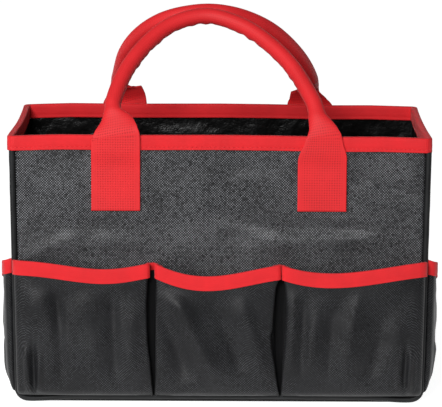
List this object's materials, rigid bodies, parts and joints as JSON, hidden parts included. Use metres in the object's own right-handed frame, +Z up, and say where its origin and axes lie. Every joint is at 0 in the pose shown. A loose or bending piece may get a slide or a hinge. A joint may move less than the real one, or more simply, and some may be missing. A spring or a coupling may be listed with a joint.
{
  "type": "open top tool tote",
  "caption": "Boxy open top cloth tool tote with sagging pleated outside pockets, bound edges and rolled webbing grips that lean together over its mouth.",
  "frame": {"origin": "on the floor under the middle of the tote", "axes": "+X to the right seen from the front, across the long side; +Y from the front to the back; +Z up"},
  "size_m": [0.3558, 0.2108, 0.3048],
  "materials": {
    "black_fabric": "coarse coated oxford weave, glossy black on its inner face",
    "red_binding": "folded polyester tape, matt",
    "red_webbing": "ribbed polypropylene webbing, slight sheen",
    "black_piping": "oxford weave bound over a cord, satin"
  },
  "bodies": {
    "root": {"front_panel": "black_fabric", "back_panel": "black_fabric", "right_side_panel": "black_fabric", "left_side_panel": "black_fabric", "base_panel": "black_fabric", "front_piping": "black_piping", "back_piping": "black_piping", "rim_binding": "red_binding", "front_pocket": "black_fabric", "back_pocket": "black_fabric", "front_pocket_binding": "red_binding", "back_pocket_binding": "red_binding", "right_pocket": "black_fabric", "left_pocket": "black_fabric", "right_pocket_binding": "red_binding", "left_pocket_binding": "red_binding", "front_handle": "red_webbing", "back_handle": "red_webbing"}
  },
  "joints": []
}
